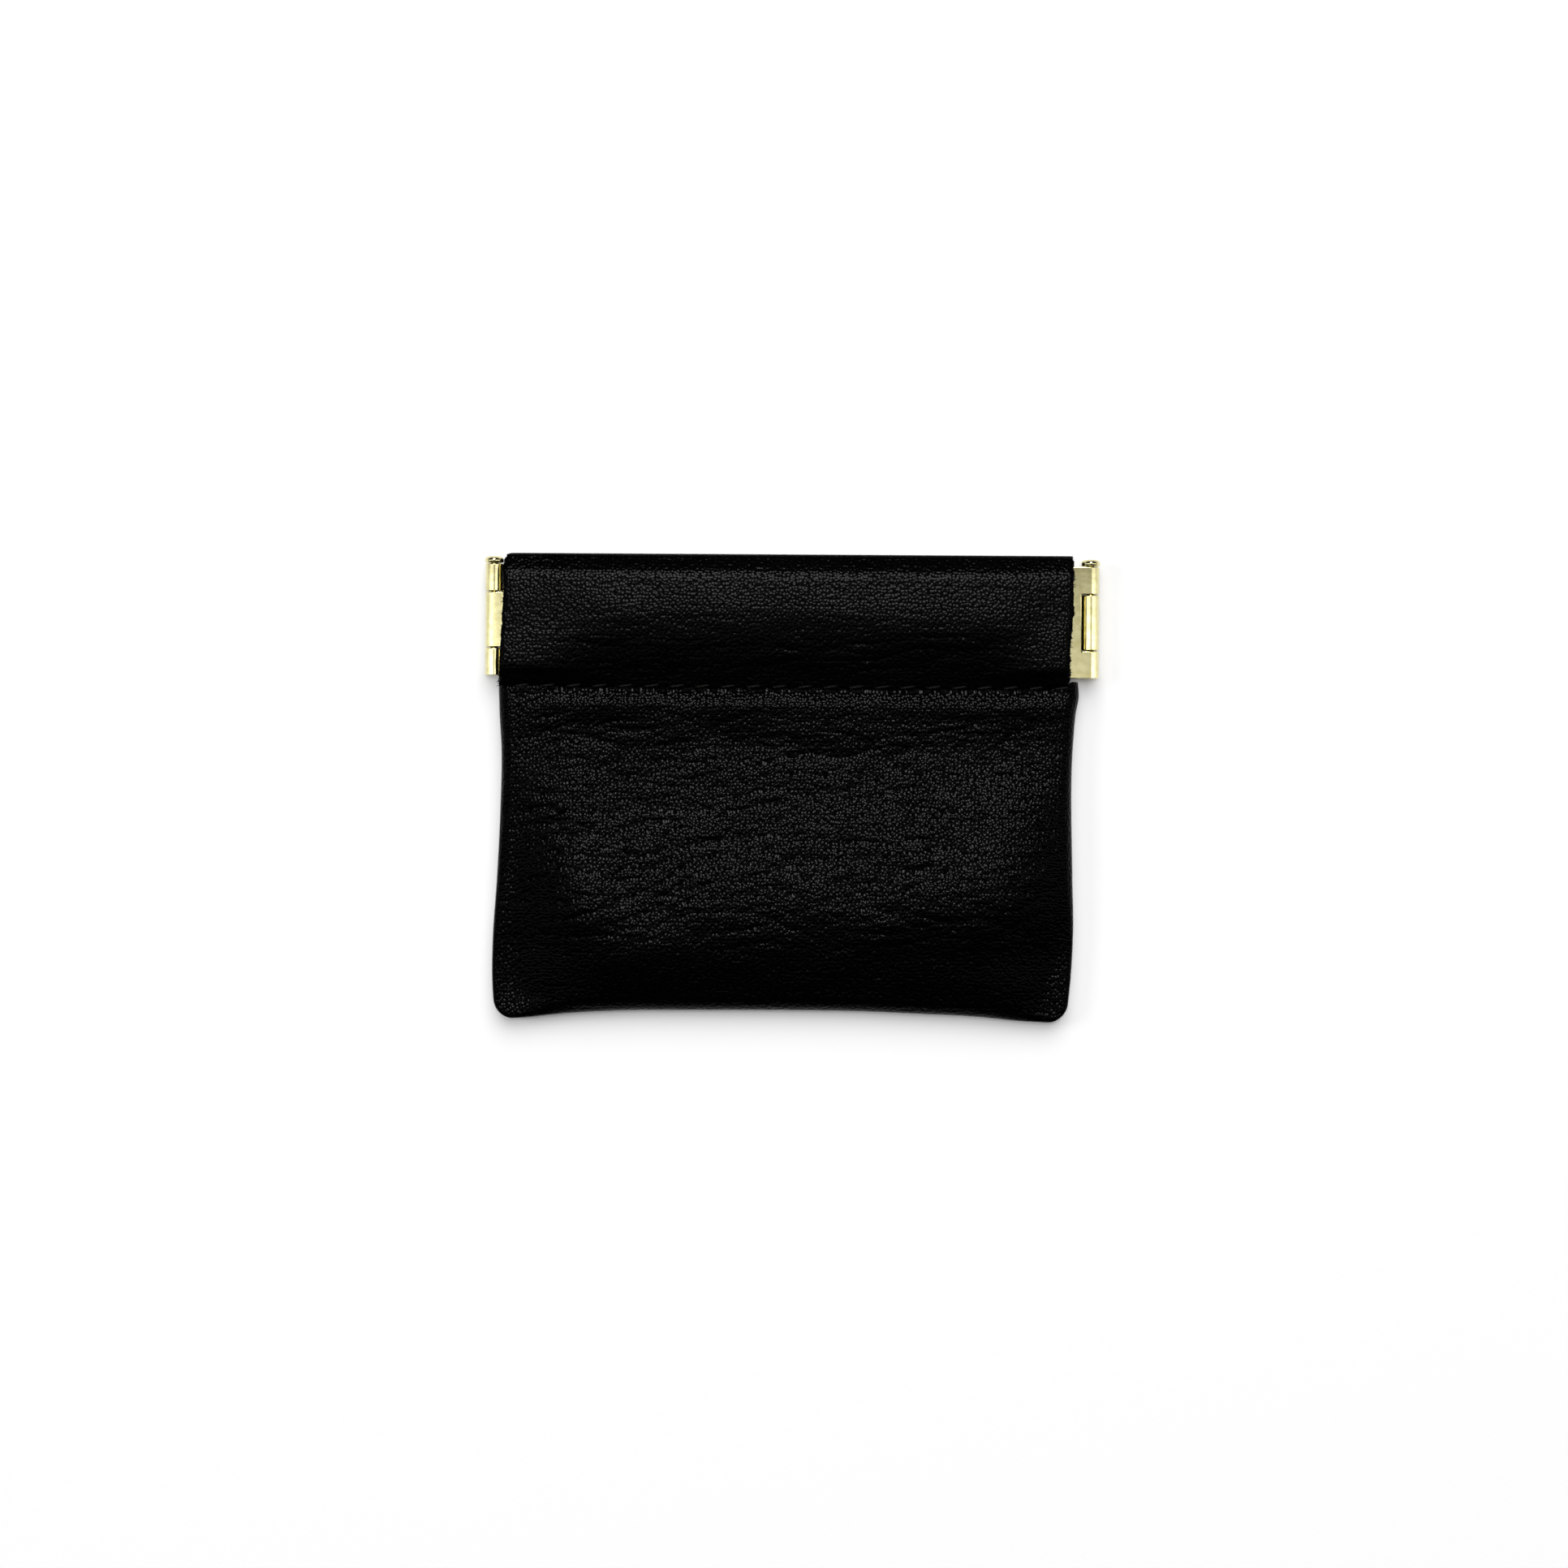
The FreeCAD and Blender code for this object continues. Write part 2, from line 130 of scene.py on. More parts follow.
def creaseDepth(x, y, kind):  # thin valleys along the level lines of stretched hills
    wanderU, wanderV = creaseForm["wanderSize"]
    patchX, patchY = creaseForm["patchSize"]
    fadeX, fadeY = creaseForm["fade"]
    turn = math.radians(kind["turn"])
    u = x * math.cos(turn) + y * math.sin(turn)
    v = y * math.cos(turn) - x * math.sin(turn)
    v = v + kind["wander"] * softNoise(u / wanderU, v / wanderV, kind["seed"] + 1)
    hills = softNoise(u / kind["run"], v / kind["gap"], kind["seed"])
    valley = np.clip(1 - np.abs(hills) / kind["width"], 0, 1) ** creaseForm["sharpness"]
    patch = np.clip(0.75 + 0.8 * softNoise(x / patchX, y / patchY, kind["seed"] + 2), 0, 1)
    lowX, highX, lowY, highY = kind["area"]
    inside = easeStep(lowX - fadeX, lowX + fadeX, x) * easeStep(highX + fadeX, highX - fadeX, x)
    inside = inside * easeStep(lowY - fadeY, lowY + fadeY, y) * easeStep(highY + fadeY, highY - fadeY, y)
    return kind["depth"] * valley * patch * inside


# Shader sums

class Wire:  # one socket, whose sums and products add Math nodes to its tree
    def __init__(self, tree, socket=None):
        self.tree = tree
        self.socket = socket

    def node(self, kind, settings=None, values=None, out=0):
        made = self.tree.nodes.new(kind)
        for key, value in (settings or {}).items():
            if key == "stops":
                self.setStops(made.color_ramp, value)
            else:
                setattr(made, key, value)
        for key, value in (values or {}).items():
            if isinstance(value, Wire):
                self.tree.links.new(value.socket, made.inputs[key])
            else:
                made.inputs[key].default_value = value
        return Wire(self.tree, made.outputs[out]) if len(made.outputs) else made

    def setStops(self, ramp, stops):
        while len(ramp.elements) < len(stops):
            ramp.elements.new(1)
        for element, (place, level) in zip(ramp.elements, stops):
            element.position = place
            element.color = (level, level, level, 1)

    def sum(self, operation, a, b):
        return self.node("ShaderNodeMath", {"operation": operation}, {0: a, 1: b})

    def __add__(self, other):
        return self.sum("ADD", self, other)

    def __radd__(self, other):
        return self.sum("ADD", other, self)

    def __sub__(self, other):
        return self.sum("SUBTRACT", self, other)

    def __rsub__(self, other):
        return self.sum("SUBTRACT", other, self)

    def __mul__(self, other):
        return self.sum("MULTIPLY", self, other)

    def __rmul__(self, other):
        return self.sum("MULTIPLY", other, self)

    def vector(self, operation, values, out=0):  # this socket is the first vector
        return self.node("ShaderNodeVectorMath", {"operation": operation}, {0: self, **values}, out)

    def mixColour(self, a, b):  # this socket is the share of b
        return self.node("ShaderNodeMix", {"data_type": "RGBA"}, {0: self, 6: a, 7: b}, 2)

    def ramp(self, *stops):
        return self.node("ShaderNodeValToRGB", {"stops": stops}, {0: self})


def newFinish(name):  # an empty material, with the place on the object to start from
    finish = bpy.data.materials.new(name)
    finish.use_nodes = True
    finish.node_tree.nodes.clear()
    start = Wire(finish.node_tree)
    return finish, start.node("ShaderNodeTexCoord", out="Object")


def shade(place, values):
    surface = place.node("ShaderNodeBsdfPrincipled", None, values)
    place.node("ShaderNodeOutputMaterial", None, {"Surface": surface})


def noiseOf(place, scale, detail, out=0):
    return place.node("ShaderNodeTexNoise", None, {"Vector": place, "Scale": scale, "Detail": detail}, out)


def bumpOf(height, strength, distance):  # distance in millimetres
    values = {"Strength": strength, "Distance": distance * mm, "Height": height}
    return height.node("ShaderNodeBump", None, values)


def shiftBy(place, scale, amount):  # the place, pushed about so that cells lose their regularity
    noise = noiseOf(place, scale, 2, "Color")
    centred = noise.vector("SUBTRACT", {1: (0.5, 0.5, 0.5)})
    return place.vector("ADD", {1: centred.vector("SCALE", {"Scale": amount})})


grain = {"cell": 0.47, "push": 0.1, "pushSize": 1.3, "evenness": 0.8,
         "poreScale": 9000, "poreShare": 0.07, "wornScale": 160, "cellRough": 0.08, "wornRough": 0.05,
         "loose": {"height": 0.11, "roughness": 0.11, "gloss": 0.041},
         "taut": {"height": 0.078, "roughness": 0.14, "gloss": 0.038},
         "dark": (0.0001, 0.0001, 0.0001, 1), "pale": (0.0005, 0.0005, 0.00045, 1)}


def makeLeather(name, tension):
    finish, place = newFinish(name)
    cell = grain["cell"] * mm
    moved = shiftBy(place, 1 / (grain["pushSize"] * cell), grain["push"] * mm)
    cells = place.node("ShaderNodeTexVoronoi", {"feature": "F1"},
                       {"Vector": moved, "Scale": 1 / cell, "Randomness": grain["evenness"]})
    pebble = 1 - cells * cells
    pores = noiseOf(place, grain["poreScale"], 3)
    height = (1 - grain["poreShare"]) * pebble + grain["poreShare"] * pores
    worn = noiseOf(place, grain["wornScale"], 4)
    colour = pebble.ramp((0.45, 0), (0.95, 1)).mixColour(grain["dark"], grain["pale"])
    rough = tension["roughness"] + grain["cellRough"] * cells + grain["wornRough"] * worn
    shade(place, {"Base Color": colour, "Roughness": rough, "Normal": bumpOf(height, 1, tension["height"]),
                  "Specular IOR Level": tension["gloss"]})
    return finish


suede = {"napScale": 5200, "napHeight": 0.12, "roughness": 0.86, "gloss": 0.25,
         "dark": (0.006, 0.006, 0.006, 1), "pale": (0.022, 0.021, 0.019, 1)}


def makeSuede():  # the flesh side and the ragged ends
    finish, place = newFinish("fleshSideLeather")
    nap = noiseOf(place, suede["napScale"], 6)
    colour = nap.ramp((0.35, 0), (0.7, 1)).mixColour(suede["dark"], suede["pale"])
    shade(place, {"Base Color": colour, "Roughness": suede["roughness"] + 0.1 * nap,
                  "Normal": bumpOf(nap, 0.8, suede["napHeight"]), "Specular IOR Level": suede["gloss"]})
    return finish


gilt = {"lineScale": (9000, 500, 9000), "blotchScale": 900, "height": 0.02, "roughness": 0.09,
        "bright": (0.82, 0.76, 0.43, 1), "dull": (0.7, 0.63, 0.31, 1)}


def makeGilt():
    finish, place = newFinish("giltSteel")
    lines = noiseOf(place.vector("MULTIPLY", {1: gilt["lineScale"]}), 1, 3)
    blotch = noiseOf(place, gilt["blotchScale"], 3)
    normal = bumpOf(0.4 * lines + 0.9 * blotch, 0.2, gilt["height"])
    colour = blotch.ramp((0.4, 0), (0.75, 1)).mixColour(gilt["bright"], gilt["dull"])
    rough = gilt["roughness"] + 0.07 * blotch + 0.03 * lines
    shade(place, {"Base Color": colour, "Metallic": 1, "Roughness": rough, "Normal": normal})
    return finish


yarn = {"twistScale": 900, "twistHeight": 0.06, "roughness": 0.5, "gloss": 0.12,
        "dark": (0.001, 0.001, 0.001, 1), "pale": (0.005, 0.005, 0.0045, 1)}


def makeThread():
    finish, place = newFinish("blackThread")
    twist = place.node("ShaderNodeTexWave", {"bands_direction": "DIAGONAL"},
                       {"Vector": place, "Scale": yarn["twistScale"], "Distortion": 1.5, "Detail": 2})
    colour = twist.mixColour(yarn["dark"], yarn["pale"])
    shade(place, {"Base Color": colour, "Roughness": yarn["roughness"] + 0.2 * twist,
                  "Normal": bumpOf(twist, 0.7, yarn["twistHeight"]), "Specular IOR Level": yarn["gloss"]})
    return finish


leather = makeLeather("grainLeather", grain["loose"])
tautLeather = makeLeather("tautGrainLeather", grain["taut"])
flesh, giltSteel, thread = makeSuede(), makeGilt(), makeThread()
print("finishes:", leather.name, tautLeather.name, flesh.name, giltSteel.name, thread.name)


# Making pieces

def makePiece(name, points, faces, finishes, kinds=None, normals=None, flat=()):
    # points in millimetres; kinds is the finish of each face; normals are for the first points
    mesh = bpy.data.meshes.new(name)
    mesh.from_pydata((np.asarray(points) * mm).tolist(), [], np.asarray(faces).tolist())
    kinds = np.zeros(len(faces), int) if kinds is None else np.asarray(kinds)
    mesh.polygons.foreach_set("material_index", kinds)
    turned = bmesh.new()
    turned.from_mesh(mesh)
    bmesh.ops.recalc_face_normals(turned, faces=turned.faces)
    turned.to_mesh(mesh)
    turned.free()
    mesh.polygons.foreach_set("use_smooth", ~np.isin(kinds, flat))
    for finish in finishes:
        mesh.materials.append(finish)
    if normals is not None:
        corners = np.zeros(len(mesh.loops), int)
        mesh.loops.foreach_get("vertex_index", corners)
        sides = np.zeros(len(mesh.polygons), int)
        mesh.polygons.foreach_get("loop_total", sides)
        outer = np.repeat(kinds == 0, sides) & (corners < len(normals))
        wanted = np.zeros((len(corners), 3))
        wanted[outer] = normals[corners[outer]]
        mesh.normals_split_custom_set(wanted.tolist())
    piece = bpy.data.objects.new(name, mesh)
    scene.collection.objects.link(piece)
    return piece


def gridNormals(grid, roundRows=False):  # out of the front where columns run right and rows to the mouth
    across = np.gradient(grid, axis=1)
    if roundRows:
        up = np.roll(grid, -1, axis=0) - np.roll(grid, 1, axis=0)
    else:
        up = np.gradient(grid, axis=0)
    normal = np.cross(across, up)
    return normal / np.maximum(np.linalg.norm(normal, axis=2, keepdims=True), 1e-12)


def gridFaces(rows, columns, first=0, roundRows=False):
    index = first + np.arange(rows * columns).reshape(rows, columns)
    if roundRows:
        index = np.vstack([index, index[:1]])
    corners = [index[:-1, :-1], index[:-1, 1:], index[1:, 1:], index[1:, :-1]]
    return np.stack([corner.ravel() for corner in corners], axis=1)


def wallFaces(loop, offset):  # quads between a closed line of points and its twin further on
    ahead = np.roll(loop, -1)
    return np.stack([loop, ahead, ahead + offset, loop + offset], axis=1)


def tubeFaces(first, rings, around):  # quads round a run of rings of points
    faces = []
    for ring in range(rings - 1):
        for corner in range(around):
            a, b = first + around * ring + corner, first + around * ring + (corner + 1) % around
            faces.append([a, b, b + around, a + around])
    return faces


# Leather outline, shared by front and back

outline = {
    "left": [(14.6, -40.6), (10.3, -40.45), (5.8, -40.18), (-3.2, -40.28), (-12.2, -40.68),
             (-21.2, -41.23), (-26, -41.28), (-32, -40.85)],
    "right": [(15.4, 39.6), (13.2, 39.75), (10.8, 39.35), (7, 39.03), (-12, 39.03),
              (-19, 39.18), (-25, 38.93), (-32, 38.25)],
    "bottom": [(-41, -31.95), (-37.5, -31.75), (-30.7, -31.05), (-24, -30.65), (-12.7, -30.5),
               (-1.5, -30.45), (9.7, -30.55), (16.5, -30.8), (25.5, -31.2), (32.2, -31.8), (39, -32.1)],
    "corner": 2.7,
    "seam": casingLow[1] + 0.3,
    "ear": 1.0, "earFrom": 38.0, "earFull": 38.7,
}


def cornerInset(bottomGap):  # how far the side edge draws in round the bottom corner
    radius = outline["corner"]
    rise = np.clip(radius - bottomGap, 0, radius)
    return radius - np.sqrt(radius ** 2 - rise ** 2)


def bottomAt(x):
    return curveThrough(outline["bottom"], x)


def topAt(x):
    return outline["seam"] + outline["ear"] * easeStep(outline["earFrom"], outline["earFull"], x)


def leftAt(y, bottomGap):
    return curveThrough(outline["left"], y) + cornerInset(bottomGap)


def rightAt(y, bottomGap):
    return curveThrough(outline["right"], y) - cornerInset(bottomGap)


def panelPlaces(rowShares, columnShares, lowX, highX, inset=0):
    # x and y of a grid over the pouch; lowX or highX None means that the leather's own edge is there
    row, column = np.meshgrid(rowShares, columnShares, indexing="ij")
    x = np.full(row.shape, 0.0) + (lowX or 0) + (highX or 0)
    for turn in range(6):  # x and y settle together
        bottom = bottomAt(x) + inset
        y = bottom + row * (topAt(x) - bottom)
        low = lowX if lowX is not None else leftAt(y, y - bottom) + inset
        high = highX if highX is not None else rightAt(y, y - bottom) - inset
        x = low + column * (high - low)
    return x, y


def rimGaps(x, y):  # distances to the left, right and bottom edges
    bottomGap = np.maximum(y - bottomAt(x), 0)
    leftGap = np.maximum(x - leftAt(y, bottomGap), 0)
    rightGap = np.maximum(rightAt(y, bottomGap) - x, 0)
    return leftGap, rightGap, bottomGap


def sideFall(gap, reach):  # 0 at the edge, 1 once past reach
    return 1 - (1 - np.clip(gap / reach, 0, 1)) ** 2


frontPanel = {
    "swell": [(15.2, 1.7), (14.2, 1.64), (13.85, 1.54), (13.5, 1.6), (13.1, 1.74), (12.7, 1.88),
              (12.2, 2.03), (11.8, 2.1), (11.4, 2.11), (10.9, 2.08), (10.2, 2.01), (9.3, 1.93),
              (8.3, 1.87), (7.3, 1.83), (6.2, 1.82), (5, 1.85), (3.6, 1.94), (1.4, 2.11), (-5, 2.72),
              (-13.3, 3.48), (-15, 3.6), (-16.7, 3.65), (-18.7, 3.59), (-21.4, 3.32), (-24.5, 2.84),
              (-28, 2.17), (-30.3, 1.7)],
    "crest": [(-40, 6), (-34, 4), (-28, 0.5), (-22, -2.5), (-10, -0.5), (0, 0), (15, 0.3), (25, 1.2),
              (32, 4), (39, 6)],
    "crestTop": (12, -2), "crestFoot": (-30, -21),
    "rollSag": 0.8, "sagX": (-32, -38), "sagY": (6, 11),
    "dipFill": 0.06, "dipX": (-8, 2), "dipY": 7.6, "dipReach": 2,
    "rightLean": 0.02, "leanTop": 6, "leanDrop": 18, "leanFoot": (-26, -14),
    "leanIn": (6, 18), "leanOut": (35, 25),
    "endDroop": 1.3, "endDroopY": (12, -32), "cornerDroop": 0.45, "cornerDroopY": (-14, -31),
    "droopLeft": 13, "droopRight": 11, "droopRim": 3,
    "rimHeight": 1.7, "rimReach": 1.7, "leftFall": 12, "rightFall": 8,
    "calmSide": 7, "calmBottom": 9, "slowHills": 0.12, "hillSize": (8, 5), "hillSeed": 71,
    "pucker": 0.16, "puckerReach": 0.9,
    "wall": 1.0, "scarf": 2.2, "rows": 220, "sideColumns": 110, "middleColumns": 92,
}
backPanel = {
    "swell": [(15.2, 1.2), (14.2, 1.2), (13.4, 1.7), (12, 2.05), (9, 2.26), (6, 2.3), (3, 2.3),
              (-17, 2.3), (-20, 2.3), (-24, 2.27), (-27.5, 2.1), (-30.3, 1.7)],
    "rimHeight": 1.7, "rimReach": 2.1, "leftFall": 6, "rightFall": 6,
    "wall": 1.0, "rows": 90, "columns": 110,
}
panelEdge = {"leastLift": 0.03, "fleshLift": 0.1, "fleshInset": 0.9, "edgePacking": 5, "seamPacking": 2}
panelCreases = [
    {"gap": 2.4, "run": 8, "depth": 0.13, "width": 0.7, "turn": 2, "wander": 0.8, "seed": 3,
     "area": (-38, 37, -22, 11)},
    {"gap": 1.6, "run": 5, "depth": 0.08, "width": 0.7, "turn": 4, "wander": 0.6, "seed": 21,
     "area": (-37, 36, -21, 10)},
    {"gap": 2.0, "run": 8, "depth": 0.11, "width": 0.7, "turn": 22, "wander": 0.7, "seed": 41,
     "area": (-38, -8, -21, -1)},
    {"gap": 2.8, "run": 4, "depth": 0.09, "width": 0.7, "turn": 80, "wander": 0.6, "seed": 61,
     "area": (4, 34, -15, 8)},
]
stitch = {"pitch": 3.55, "eachSide": 11, "length": 2.3, "radius": 0.17, "lift": 1.6,
          "seamY": casingLow[1] + 0.4, "arch": 0.4, "slant": 0.16, "endTaper": 0.45,
          "insideLift": 0.95, "insideReach": 34, "rings": 9, "around": 8}


def panelLift(x, y, panel, crestShift=0):  # lift of a pouch panel without its creases
    leftGap, rightGap, bottomGap = rimGaps(x, y)
    rim = bothOf(bothOf(leftGap, rightGap), bottomGap)
    rise = np.sqrt(1 - (1 - np.clip(rim / panel["rimReach"], 0, 1)) ** 2)
    swell = curveThrough(panel["swell"], y - crestShift) - panel["rimHeight"]
    sides = easeStep(0, panel["leftFall"], leftGap) * sideFall(rightGap, panel["rightFall"])
    return panel["rimHeight"] * rise + swell * sides


def frontLift(x, y):
    panel = frontPanel
    body = easeStep(*panel["crestTop"], y) * easeStep(*panel["crestFoot"], y)
    # the roll sags at the seam's left end
    sag = panel["rollSag"] * easeStep(*panel["sagX"], x) * easeStep(*panel["sagY"], y)
    lift = panelLift(x, y, panel, curveThrough(panel["crest"], x) * body - sag)
    dip = np.exp(-((y - panel["dipY"]) / panel["dipReach"]) ** 2)
    lift = lift + panel["dipFill"] * easeStep(*panel["dipX"], x) * dip
    lean = panel["rightLean"] * np.clip(panel["leanTop"] - y, 0, panel["leanDrop"])
    lean = lean * easeStep(*panel["leanFoot"], y)
    lift = lift + lean * easeStep(*panel["leanIn"], x) * easeStep(*panel["leanOut"], x)
    leftGap, rightGap, bottomGap = rimGaps(x, y)
    ends = 1 - easeStep(0, panel["droopLeft"], leftGap) * easeStep(0, panel["droopRight"], rightGap)
    inside = sideFall(bothOf(bothOf(leftGap, rightGap), bottomGap), panel["droopRim"])
    droop = panel["endDroop"] * easeStep(*panel["endDroopY"], y)
    droop = droop + panel["cornerDroop"] * easeStep(*panel["cornerDroopY"], y)
    return lift - droop * ends * inside  # the two ends are thinner, the corners most


def frontDetail(x, y):  # creases, slow hills and the pull of the stitches
    leftGap, rightGap, bottomGap = rimGaps(x, y)
    calm = sideFall(bothOf(leftGap, rightGap), frontPanel["calmSide"])
    calm = calm * sideFall(bottomGap, frontPanel["calmBottom"])
    depth = sum(creaseDepth(x, y, kind) for kind in panelCreases)
    hillX, hillY = frontPanel["hillSize"]
    hills = frontPanel["slowHills"] * softNoise(x / hillX, y / hillY, frontPanel["hillSeed"])
    pull = 0.5 + 0.5 * np.cos(2 * math.pi * x / stitch["pitch"])
    belowSeam = np.maximum(outline["seam"] - y, 0)
    pucker = frontPanel["pucker"] * pull * np.exp(-belowSeam / frontPanel["puckerReach"])
    return calm * (hills - depth) - pucker


def columnShares(count, lowX, highX):
    # packed closer at the leather's own edge, with one spare column past each cut for the normals
    packing = [panelEdge["edgePacking"] if edge is None else 1 for edge in (lowX, highX)]
    shares = spread(count, *packing)
    before = [-shares[1]] if lowX is not None else []
    after = [2 - shares[-2]] if highX is not None else []
    return np.concatenate([before, shares, after]), slice(len(before), len(before) + count)


def fleshCut(edge, scarf):  # a cut slants outwards on its flesh side; edges at None and 0 stay
    return edge + math.copysign(scarf, edge) if edge else edge


def makePanel(name, face, lowX, highX, rows, columns, liftOf, detailOf, wall, scarf=0):
    # a closed length of leather: grain side, flesh side and the edges between them
    rowShares = spread(rows, panelEdge["edgePacking"], panelEdge["seamPacking"])
    shares, kept = columnShares(columns, lowX, highX)
    x, y = panelPlaces(rowShares, shares, lowX, highX)
    lift = np.maximum(liftOf(x, y) + detailOf(x, y), 0) + panelEdge["leastLift"]
    outer = np.stack([x, y, midZ + face * lift], axis=2)
    normals = (face * gridNormals(outer))[:, kept]
    outer = outer[:, kept]
    x, y = panelPlaces(rowShares, shares[kept], fleshCut(lowX, scarf), fleshCut(highX, scarf),
                       panelEdge["fleshInset"])
    lift = np.maximum(liftOf(x, y) - wall, panelEdge["fleshLift"])
    inner = np.stack([x, y, midZ + face * lift], axis=2)
    count = rows * columns
    index = np.arange(count).reshape(rows, columns)
    edge = np.concatenate([index[0, :-1], index[:-1, -1], index[-1, :0:-1], index[:0:-1, 0]])
    faces = [gridFaces(rows, columns), gridFaces(rows, columns, count), wallFaces(edge, count)]
    kinds = np.concatenate([np.full(len(group), kind) for kind, group in enumerate(faces)])
    points = np.concatenate([outer.reshape(-1, 3), inner.reshape(-1, 3)])
    return makePiece(name, points, np.concatenate(faces), [leather, flesh, leather], kinds,
                     normals.reshape(-1, 3), flat=(2,))


def noDetail(x, y):
    return 0 * x


def backLift(x, y):
    return panelLift(x, y, backPanel)


frontColumns = {}
for name, lowX, highX in (("left", None, -bendX), ("middle", -bendX, bendX), ("right", bendX, None)):
    count = frontPanel["middleColumns" if name == "middle" else "sideColumns"]
    frontColumns[name] = makePanel("frontPanel." + name, 1, lowX, highX, frontPanel["rows"], count,
                                   frontLift, frontDetail, frontPanel["wall"], frontPanel["scarf"])
backHalves = {}
for name, lowX, highX in (("left", None, 0), ("right", 0, None)):
    backHalves[name] = makePanel("backPanel." + name, -1, lowX, highX, backPanel["rows"],
                                 backPanel["columns"], backLift, noDetail, backPanel["wall"])
print("pouch:", sum(len(piece.data.polygons) for piece in frontColumns.values()), "front faces")


# Casings: the top of each panel, folded in over its strip and sewn down

casing = {
    "leftEnd": [(32.65, -38.9), (32.45, -39.35), (32, -39.62), (28, -39.8), (23.5, -40.0), (18, -40.25),
                (14.2, -40.4)],
    "rightEnd": [(32.4, 38.85), (24, 38.8), (19.5, 38.45), (14.2, 38.3)],
    "middle": [(14.2, 1.36), (15, 1.52), (16, 1.71), (17, 1.9), (19, 2.23), (21, 2.48), (22.5, 2.59),
               (23.6, 2.62), (24.8, 2.6), (26.3, 2.51), (28.3, 2.37), (29.2, 2.29), (29.7, 2.2),
               (30.1, 2.09), (30.6, 1.88), (31.1, 1.63), (32.2, 1.06)],
    "ends": [(14.2, 1.42), (15, 1.78), (15.7, 2.2), (16.3, 2.48), (16.9, 2.59), (17.7, 2.6), (19, 2.56),
             (22.9, 2.4), (27.4, 2.2), (29.2, 2.12), (29.7, 2.06), (30.1, 1.97), (30.6, 1.8),
             (31.1, 1.58), (32.2, 1.06)],
    "leftReach": 17, "rightReach": 13, "tautWithin": 2.5, "backShare": 0.83,
    "leftTilt": 0.018, "tiltFrom": 23, "tiltY": (15, 18), "tiltLift": (-0.2, 1.6),
    "foldFrom": 32.2, "foldTurn": 27.2, "foldTop": casingHigh[1] + 0.25, "foldLift": 0.3,
    "flapFrom": 30.9, "flapLift": 0.15,
    "tunnelLow": stripLow[1] - 0.35, "tunnelTurn": 30.7, "tunnelTop": stripHigh[1] + 0.4,
    "tunnelRoof": stripHigh[2] - midZ + 0.06, "tunnelFold": 0.9, "tunnelFlap": 0.55,
    "slowHills": 0.07, "hillSize": (7, 5), "hillSeed": 111, "hillY": (32, 28), "calm": 1.5,
    "endDrop": 0.22, "endDropReach": 0.3,
    "raggedness": 0.2, "raggedReach": 0.5, "waveSize": 1.3, "wave": 0.4, "tuftSize": 0.37, "tuft": 2.4,
    "faceRows": 130, "foldRows": 10, "flapRows": 25, "stations": 150, "endPacking": 6,
}
casingCreases = [
    {"gap": 2.2, "run": 11, "depth": 0.06, "width": 0.7, "turn": 3, "wander": 0.8, "seed": 83,
     "area": (-34, 33, 15, 22)},
    {"gap": 1.5, "run": 7, "depth": 0.03, "width": 0.7, "turn": -4, "wander": 0.6, "seed": 97,
     "area": (-36, 35, 15, 25)},
]


def quarterTurn(fromY, toY, fromLift, toLift, count):  # quarter of an ellipse, without its first point
    angle = np.linspace(0, math.pi / 2, count + 1)[1:]
    return toY + (fromY - toY) * np.cos(angle), fromLift + (toLift - fromLift) * np.sin(angle)


def foldOver(fromY, top, topLift, turnLift):  # the same outwards, from the slope that the face arrives at
    start = math.radians(casing["foldTurn"])
    angle = np.linspace(start, math.pi / 2, casing["foldRows"] + 1)[1:]
    y = top - (top - fromY) * (1 - np.sin(angle)) / (1 - math.sin(start))
    return y, turnLift + (topLift - turnLift) * np.cos(angle) / math.cos(start)


def sectionLoop(low, faceEnd, topLift, top, turnLift, flapFrom, flapLift):
    # y and lift round one section: up the face, over the fold and down the flap
    face = np.linspace(low, faceEnd, casing["faceRows"])
    over = foldOver(faceEnd, top, topLift, turnLift)
    under = quarterTurn(top, flapFrom, turnLift, flapLift, casing["foldRows"])
    down = np.linspace(flapFrom, low, casing["flapRows"])[1:]
    y = np.concatenate([face, over[0], under[0], down])
    lift = np.concatenate([np.full(len(face), topLift), over[1], under[1], np.full(len(down), flapLift)])
    return y, lift


def raggedEnd(y, face, side):  # how far the cut end stands out along its height
    waves = casing["wave"] * softNoise(y / casing["waveSize"], 0 * y + 5 * side, 131 + face)
    tufts = np.maximum(softNoise(y / casing["tuftSize"], 0 * y + 0.4, 137 + side), 0) ** 2
    return casing["raggedness"] * (waves + casing["tuft"] * tufts - 0.4)


